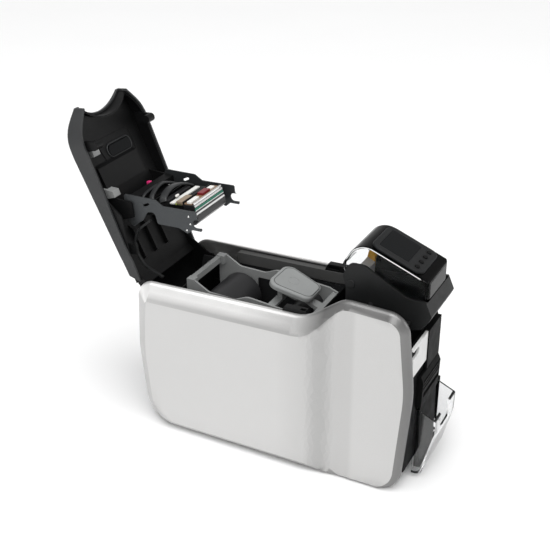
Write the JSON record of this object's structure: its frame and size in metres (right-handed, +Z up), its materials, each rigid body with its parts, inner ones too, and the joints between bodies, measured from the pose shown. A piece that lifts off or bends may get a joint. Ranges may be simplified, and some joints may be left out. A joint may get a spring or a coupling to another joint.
{
  "type": "id card printer",
  "caption": "Desktop plastic card printer with a swung-open top cover and sprung printhead, a lift-out ribbon cassette, a clear feeder hood with a control panel, and a card hopper.",
  "frame": {"origin": "middle of the underside of the whole open printer, on the table", "axes": "+Z up, -Y towards the front where the cards come out, +X to the right seen from the front"},
  "size_m": [0.16, 0.4447, 0.374],
  "materials": {
    "silver": "brushed silver paint",
    "cover_gray": "satin",
    "black": "satin",
    "panel_gray": "satin",
    "display": "gloss",
    "clear": "clear gloss",
    "chute_gray": "satin",
    "ribbon_gray": "satin",
    "ribbon_film": "satin",
    "white": "satin",
    "amber": "satin",
    "steel": "brushed",
    "rubber": "matte",
    "gear": "satin",
    "bush": "satin",
    "board": "satin",
    "socket": "satin"
  },
  "bodies": {
    "frame": {"left_side_panel": "silver", "right_side_panel": "silver", "ribbon_bay": "black", "card_guide": "black", "feeder_housing": "black", "front_fascia": "black", "feed_mouth": "black", "card_ramp": "black", "rear_panel": "black", "hood_pins": "black", "base_tray": "black", "left_sill": "black", "right_sill": "black", "latch_receptacles": "black", "output_hopper": "clear", "chute_cover": "chute_gray", "feeder_gate": "white", "left_chassis_plate": "steel", "right_chassis_plate": "steel", "hinge_pins": "steel", "drive_motor": "steel", "drive_belt": "rubber", "rubber_feet": "rubber", "bearing_bushes": "bush", "main_board": "board", "power_inlet": "socket", "usb_socket": "socket", "network_socket": "socket"},
    "cover": {"cover_shell": "cover_gray", "cover_liner": "black", "cover_latches": "black", "cover_window": "display", "ribbon_guides": "ribbon_gray", "cable_guard": "black"},
    "head": {"left_head_plate": "steel", "right_head_plate": "steel", "head_chassis": "black", "print_head": "steel", "head_board": "board", "head_connectors": "white"},
    "hood": {"hood": "clear", "control_panel": "panel_gray", "display_window": "display"},
    "cassette": {"ribbon_frame": "ribbon_gray", "ribbon_handle": "ribbon_gray", "ribbon_film": "ribbon_film"},
    "supply": {"supply_spool": "ribbon_film"},
    "takeup": {"takeup_spool": "ribbon_film"},
    "platen": {"platen_roller": "rubber", "platen_gear": "gear"},
    "pinion": {"motor_pinion": "gear"},
    "entry": {"entry_roller": "rubber"},
    "exit": {"exit_roller": "rubber"},
    "picker": {"pick_roller": "rubber"},
    "lever": {"gate_lever": "amber"},
    "button_1": {"panel_button_1": "black"},
    "button_2": {"panel_button_2": "black"},
    "button_3": {"panel_button_3": "black"},
    "button_4": {"panel_button_4": "black"}
  },
  "joints": [
    {"name": "cover_hinge", "type": "hinge", "parent": "frame", "child": "cover", "pos_m": [0, 0.1107, 0.161], "axis": [1, 0, 0], "range_deg": [0, 96]},
    {"name": "head_float", "type": "hinge", "parent": "cover", "child": "head", "pos_m": [0, 0.15371, 0.26407], "axis": [1, 0, 0], "range_deg": [0, 1], "stiffness_Nm_per_rad": 4, "springref_deg": -4.58},
    {"name": "hood_hinge", "type": "hinge", "parent": "frame", "child": "hood", "pos_m": [0, -0.1178, 0.229], "axis": [1, 0, 0], "range_deg": [-50, 0]},
    {"name": "cassette_lift", "type": "slide", "parent": "frame", "child": "cassette", "axis": [0, 0, -1], "range_m": [-0.045, 0]},
    {"name": "supply_spin", "type": "hinge", "parent": "cassette", "child": "supply", "pos_m": [0, 0.0507, 0.146], "axis": [1, 0, 0], "continuous": true},
    {"name": "takeup_spin", "type": "hinge", "parent": "cassette", "child": "takeup", "pos_m": [0, -0.0433, 0.156], "axis": [1, 0, 0], "continuous": true},
    {"name": "platen_spin", "type": "hinge", "parent": "frame", "child": "platen", "pos_m": [0, 0.0142, 0.102], "axis": [1, 0, 0], "continuous": true},
    {"name": "pinion_spin", "type": "hinge", "parent": "frame", "child": "pinion", "pos_m": [0, -0.00065, 0.08715], "axis": [1, 0, 0], "continuous": true},
    {"name": "entry_spin", "type": "hinge", "parent": "frame", "child": "entry", "pos_m": [0, -0.0703, 0.102], "axis": [1, 0, 0], "continuous": true},
    {"name": "exit_spin", "type": "hinge", "parent": "frame", "child": "exit", "pos_m": [0, -0.1653, 0.102], "axis": [1, 0, 0], "continuous": true},
    {"name": "pick_spin", "type": "hinge", "parent": "frame", "child": "picker", "pos_m": [0, -0.1413, 0.2105], "axis": [1, 0, 0], "continuous": true},
    {"name": "lever_turn", "type": "hinge", "parent": "frame", "child": "lever", "pos_m": [0, -0.1253, 0.238], "axis": [1, 0, 0], "range_deg": [-12, 12]},
    {"name": "button_1_press", "type": "slide", "parent": "hood", "child": "button_1", "axis": [0, 0.3074, -0.9516], "range_m": [0, 0.0008], "stiffness_N_per_m": 250, "springref_m": -0.001},
    {"name": "button_2_press", "type": "slide", "parent": "hood", "child": "button_2", "axis": [0, 0.3074, -0.9516], "range_m": [0, 0.0008], "stiffness_N_per_m": 250, "springref_m": -0.001},
    {"name": "button_3_press", "type": "slide", "parent": "hood", "child": "button_3", "axis": [0, 0.3074, -0.9516], "range_m": [0, 0.0008], "stiffness_N_per_m": 250, "springref_m": -0.001},
    {"name": "button_4_press", "type": "slide", "parent": "hood", "child": "button_4", "axis": [0, 0.3074, -0.9516], "range_m": [0, 0.0008], "stiffness_N_per_m": 250, "springref_m": -0.001}
  ],
  "couplings": [
    {"joint": "pinion_spin", "follows": "platen_spin", "ratio": -2.5},
    {"joint": "entry_spin", "follows": "platen_spin", "ratio": 1},
    {"joint": "exit_spin", "follows": "platen_spin", "ratio": 1}
  ]
}
